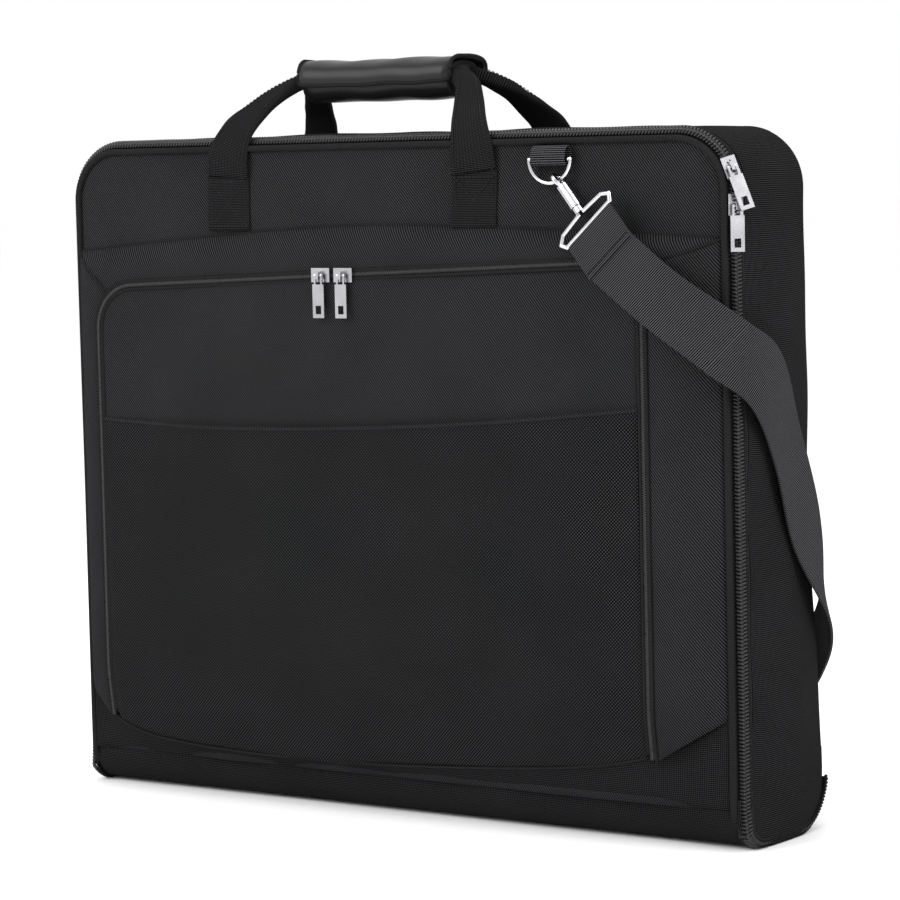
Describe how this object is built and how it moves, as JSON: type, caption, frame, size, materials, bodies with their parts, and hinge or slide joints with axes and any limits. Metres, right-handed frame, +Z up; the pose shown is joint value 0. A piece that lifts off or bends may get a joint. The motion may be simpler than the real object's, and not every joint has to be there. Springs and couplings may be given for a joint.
{
  "type": "garment bag",
  "caption": "Folding black garment bag with a zipped perimeter, a raised front pocket, a wrapped carry handle and a clip-on shoulder strap.",
  "frame": {"origin": "middle of the foot that the folded bag stands on", "axes": "+Z up, +Y from the front pocket to the back, +X to the right of someone facing the front pocket"},
  "size_m": [0.6333, 0.2083, 0.5914],
  "materials": {
    "twill": "woven twill",
    "gusset_cloth": "fine plain weave",
    "ballistic": "coarse ballistic weave",
    "handle_cloth": "woven twill",
    "welt": "smooth piping",
    "zip_coil": "moulded coil",
    "slider_metal": "nickel",
    "clasp_metal": "polished nickel",
    "webbing": "ribbed webbing",
    "lining": "smooth lining",
    "elastic": "elastic",
    "board": "moulded sheet",
    "clamp_metal": "nickel"
  },
  "bodies": {
    "back_half": {"back_panel": "twill", "gusset": "gusset_cloth", "back_stiffener": "board", "back_lining": "lining", "main_zip_rear_chain": "zip_coil", "rear_handle_patches": "handle_cloth", "rear_ring_tab": "webbing", "hanger_clamp_base": "clamp_metal", "garment_straps": "elastic", "strap_side": "webbing", "strap_rear": "webbing"},
    "clamp_bar": {"hanger_clamp_bar": "clamp_metal"},
    "bottom_fold": {"bottom_panel": "gusset_cloth"},
    "front_half": {"front_panel": "twill", "front_welt": "welt", "front_stiffener": "board", "front_lining": "lining", "main_zip_front_chain": "zip_coil", "pocket_gusset": "twill", "pocket_zip_outer_chain": "zip_coil", "bottom_guard": "gusset_cloth", "front_handle_patches": "handle_cloth", "front_ring_tab": "webbing", "strap_front": "webbing"},
    "pocket_flap": {"pocket_door": "twill", "slip_pocket_panel": "ballistic", "pocket_zip_inner_chain": "zip_coil"},
    "main_slider_lower": {"main_slider_lower": "slider_metal"},
    "main_pull_lower": {"main_pull_lower": "slider_metal"},
    "main_slider_upper": {"main_slider_upper": "slider_metal"},
    "main_pull_upper": {"main_pull_upper": "slider_metal"},
    "pocket_slider_left": {"pocket_slider_left": "slider_metal"},
    "pocket_pull_left": {"pocket_pull_left": "slider_metal"},
    "pocket_slider_right": {"pocket_slider_right": "slider_metal"},
    "pocket_pull_right": {"pocket_pull_right": "slider_metal"},
    "front_handle": {"front_handle": "handle_cloth", "handle_wrap": "handle_cloth"},
    "wrap_flap": {"handle_wrap_flap": "handle_cloth"},
    "rear_handle": {"rear_handle": "handle_cloth"},
    "front_ring": {"front_d_ring": "clasp_metal", "front_clasp_hook": "clasp_metal"},
    "front_gate": {"front_clasp_gate": "clasp_metal"},
    "front_loop": {"front_clasp_loop": "clasp_metal", "strap_front_end": "webbing"},
    "rear_ring": {"rear_d_ring": "clasp_metal", "rear_clasp_hook": "clasp_metal"},
    "rear_gate": {"rear_clasp_gate": "clasp_metal"},
    "rear_loop": {"rear_clasp_loop": "clasp_metal", "strap_rear_end": "webbing"},
    "strap_adjuster": {"strap_adjuster": "clasp_metal"}
  },
  "joints": [
    {"name": "rear_fold", "type": "hinge", "parent": "back_half", "child": "bottom_fold", "pos_m": [0, 0.06, 0.0161], "axis": [1, 0, 0], "range_deg": [0, 90]},
    {"name": "front_fold", "type": "hinge", "parent": "bottom_fold", "child": "front_half", "pos_m": [0, -0.06, 0.0161], "axis": [1, 0, 0], "range_deg": [0, 90]},
    {"name": "pocket_flap_hinge", "type": "hinge", "parent": "front_half", "child": "pocket_flap", "pos_m": [-0.016, -0.0743, 0.0766], "axis": [1, 0, 0], "range_deg": [0, 95]},
    {"name": "main_zip_lower_slide", "type": "slide", "parent": "back_half", "child": "main_slider_lower", "axis": [0, 0, -1], "range_m": [0, 0.4]},
    {"name": "main_pull_lower_hinge", "type": "hinge", "parent": "main_slider_lower", "child": "main_pull_lower", "pos_m": [0.30614, -0.05714, 0.472], "axis": [-0.7071, -0.7071, 0], "range_deg": [0, 45]},
    {"name": "main_zip_corner_travel", "type": "hinge", "parent": "back_half", "child": "main_slider_upper", "pos_m": [0.258, -0.05375, 0.482], "axis": [0, -1, 0], "range_deg": [0, 64]},
    {"name": "main_pull_upper_hinge", "type": "hinge", "parent": "main_slider_upper", "child": "main_pull_upper", "pos_m": [0.30264, -0.05714, 0.50004], "axis": [-0.6556, -0.7071, -0.2649], "range_deg": [0, 150]},
    {"name": "pocket_zip_left_slide", "type": "slide", "parent": "pocket_flap", "child": "pocket_slider_left", "axis": [-1, 0, 0], "range_m": [0, 0.175]},
    {"name": "pocket_pull_left_hinge", "type": "hinge", "parent": "pocket_slider_left", "child": "pocket_pull_left", "pos_m": [-0.045, -0.0813, 0.4228], "axis": [-1, 0, 0], "range_deg": [0, 150]},
    {"name": "pocket_zip_right_slide", "type": "slide", "parent": "pocket_flap", "child": "pocket_slider_right", "axis": [1, 0, 0], "range_m": [0, 0.17]},
    {"name": "pocket_pull_right_hinge", "type": "hinge", "parent": "pocket_slider_right", "child": "pocket_pull_right", "pos_m": [-0.024, -0.0813, 0.4228], "axis": [-1, 0, 0], "range_deg": [0, 150]},
    {"name": "front_handle_swing", "type": "hinge", "parent": "front_half", "child": "front_handle", "pos_m": [-0.0275, -0.0642, 0.501], "axis": [1, 0, 0], "range_deg": [0, 140]},
    {"name": "wrap_flap_hinge", "type": "hinge", "parent": "front_handle", "child": "wrap_flap", "pos_m": [-0.0275, 0.024, 0.5889], "axis": [-1, 0, 0], "range_deg": [0, 150]},
    {"name": "rear_handle_swing", "type": "hinge", "parent": "back_half", "child": "rear_handle", "pos_m": [-0.0275, 0.0642, 0.501], "axis": [-1, 0, 0], "range_deg": [0, 150]},
    {"name": "front_ring_swing", "type": "hinge", "parent": "front_half", "child": "front_ring", "pos_m": [0.157, -0.068, 0.508], "axis": [-1, 0, 0], "range_deg": [0, 60]},
    {"name": "front_swivel", "type": "hinge", "parent": "front_ring", "child": "front_loop", "pos_m": [0.16466, -0.068, 0.49216], "axis": [0.6671, -0.2079, -0.7154], "range_deg": [-8, 8]},
    {"name": "front_clasp_trigger", "type": "slide", "parent": "front_ring", "child": "front_gate", "axis": [0.6671, -0.2079, -0.7154], "range_m": [0, 0.006], "stiffness_N_per_m": 120, "springref_m": -0.002},
    {"name": "rear_ring_swing", "type": "hinge", "parent": "back_half", "child": "rear_ring", "pos_m": [-0.222, 0.068, 0.508], "axis": [1, 0, 0], "range_deg": [0, 60]},
    {"name": "rear_swivel", "type": "hinge", "parent": "rear_ring", "child": "rear_loop", "pos_m": [-0.22267, 0.068, 0.49041], "axis": [0.2582, 0.0698, -0.9636], "range_deg": [-8, 8]},
    {"name": "rear_clasp_trigger", "type": "slide", "parent": "rear_ring", "child": "rear_gate", "axis": [0.2582, 0.0698, -0.9636], "range_m": [0, 0.006], "stiffness_N_per_m": 120, "springref_m": -0.002},
    {"name": "adjuster_slide", "type": "slide", "parent": "back_half", "child": "strap_adjuster", "axis": [0.2396, 0.0779, -0.9677], "range_m": [0, 0.055]},
    {"name": "clamp_bar_swing", "type": "hinge", "parent": "back_half", "child": "clamp_bar", "pos_m": [0, 0.0403, 0.483], "axis": [-1, 0, 0], "range_deg": [0, 100]}
  ],
  "couplings": [
    {"joint": "front_fold", "follows": "rear_fold", "ratio": 1}
  ]
}
